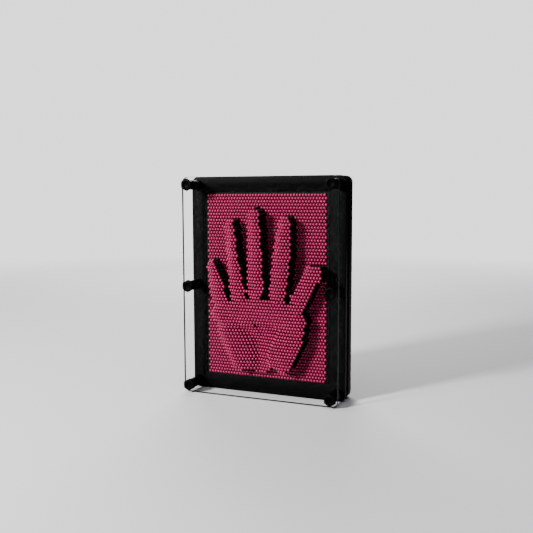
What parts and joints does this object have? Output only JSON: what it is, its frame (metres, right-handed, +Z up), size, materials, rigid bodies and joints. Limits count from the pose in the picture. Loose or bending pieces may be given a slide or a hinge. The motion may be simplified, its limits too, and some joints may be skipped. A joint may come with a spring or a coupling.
{
  "type": "pin art impression toy",
  "caption": "Desk toy: a black frame guides a bed of pink-headed pins that slide between a hand at the back and a clear bolted cover, and hold the relief of a hand.",
  "frame": {"origin": "under the middle of the whole depth and width, on the surface that the toy stands on", "axes": "+Z up, X across the toy with +X to the viewer's right, the clear cover faces -Y and the hand pushes from +Y"},
  "size_m": [0.15, 0.0568, 0.2],
  "materials": {
    "frame": "satin black moulded plastic",
    "pin_plate": "matte black moulded plastic",
    "hardware": "satin black moulded plastic",
    "cover": "clear polished acrylic",
    "pins": "satin pink pin heads on near-black shafts"
  },
  "bodies": {
    "frame": {"front_frame": "frame", "spacer_frame": "frame", "rear_frame": "frame", "front_pin_plate": "pin_plate", "rear_pin_plate": "pin_plate", "cover_plate": "cover", "cover_bolt_left_top": "hardware", "cover_post_left_top": "hardware", "rear_nut_left_top": "hardware", "cover_bolt_left_middle": "hardware", "cover_post_left_middle": "hardware", "rear_nut_left_middle": "hardware", "cover_bolt_left_bottom": "hardware", "cover_post_left_bottom": "hardware", "rear_nut_left_bottom": "hardware", "cover_bolt_right_top": "hardware", "cover_post_right_top": "hardware", "rear_nut_right_top": "hardware", "cover_bolt_right_middle": "hardware", "cover_post_right_middle": "hardware", "rear_nut_right_middle": "hardware", "cover_bolt_right_bottom": "hardware", "cover_post_right_bottom": "hardware", "rear_nut_right_bottom": "hardware"},
    "thumb_pins": {"thumb_pin_bank": "pins"},
    "index_finger_pins": {"index_finger_pin_bank": "pins"},
    "middle_finger_pins": {"middle_finger_pin_bank": "pins"},
    "ring_finger_pins": {"ring_finger_pin_bank": "pins"},
    "little_finger_pins": {"little_finger_pin_bank": "pins"},
    "palm_pads_pins": {"palm_pads_pin_bank": "pins"},
    "ball_of_thumb_pins": {"ball_of_thumb_pin_bank": "pins"},
    "heel_of_hand_pins": {"heel_of_hand_pin_bank": "pins"},
    "palm_hollow_pins": {"palm_hollow_pin_bank": "pins"},
    "upper_pins": {"upper_pin_bank": "pins"},
    "left_pins": {"left_pin_bank": "pins"},
    "ring_to_middle_pins": {"ring_to_middle_pin_bank": "pins"},
    "middle_to_index_pins": {"middle_to_index_pin_bank": "pins"},
    "right_pins": {"right_pin_bank": "pins"},
    "lower_right_pins": {"lower_right_pin_bank": "pins"},
    "lower_left_pins": {"lower_left_pin_bank": "pins"}
  },
  "joints": [
    {"name": "thumb_slide", "type": "slide", "parent": "frame", "child": "thumb_pins", "axis": [0, -1, 0], "range_m": [-0.01216, 0.00063]},
    {"name": "index_finger_slide", "type": "slide", "parent": "frame", "child": "index_finger_pins", "axis": [0, -1, 0], "range_m": [-0.01264, 0.00015]},
    {"name": "middle_finger_slide", "type": "slide", "parent": "frame", "child": "middle_finger_pins", "axis": [0, -1, 0], "range_m": [-0.0128, 0]},
    {"name": "ring_finger_slide", "type": "slide", "parent": "frame", "child": "ring_finger_pins", "axis": [0, -1, 0], "range_m": [-0.01248, 0.00031]},
    {"name": "little_finger_slide", "type": "slide", "parent": "frame", "child": "little_finger_pins", "axis": [0, -1, 0], "range_m": [-0.01185, 0.00094]},
    {"name": "palm_pads_slide", "type": "slide", "parent": "frame", "child": "palm_pads_pins", "axis": [0, -1, 0], "range_m": [-0.01169, 0.0011]},
    {"name": "ball_of_thumb_slide", "type": "slide", "parent": "frame", "child": "ball_of_thumb_pins", "axis": [0, -1, 0], "range_m": [-0.01232, 0.00047]},
    {"name": "heel_of_hand_slide", "type": "slide", "parent": "frame", "child": "heel_of_hand_pins", "axis": [0, -1, 0], "range_m": [-0.01008, 0.00221]},
    {"name": "palm_hollow_slide", "type": "slide", "parent": "frame", "child": "palm_hollow_pins", "axis": [0, -1, 0], "range_m": [-0.00478, 0.00632]},
    {"name": "upper_slide", "type": "slide", "parent": "frame", "child": "upper_pins", "axis": [0, -1, 0], "range_m": [0, 0.0158]},
    {"name": "left_slide", "type": "slide", "parent": "frame", "child": "left_pins", "axis": [0, -1, 0], "range_m": [0, 0.0158]},
    {"name": "ring_to_middle_slide", "type": "slide", "parent": "frame", "child": "ring_to_middle_pins", "axis": [0, -1, 0], "range_m": [0, 0.0158]},
    {"name": "middle_to_index_slide", "type": "slide", "parent": "frame", "child": "middle_to_index_pins", "axis": [0, -1, 0], "range_m": [0, 0.0158]},
    {"name": "right_slide", "type": "slide", "parent": "frame", "child": "right_pins", "axis": [0, -1, 0], "range_m": [0, 0.0158]},
    {"name": "lower_right_slide", "type": "slide", "parent": "frame", "child": "lower_right_pins", "axis": [0, -1, 0], "range_m": [0, 0.0158]},
    {"name": "lower_left_slide", "type": "slide", "parent": "frame", "child": "lower_left_pins", "axis": [0, -1, 0], "range_m": [0, 0.0158]}
  ]
}
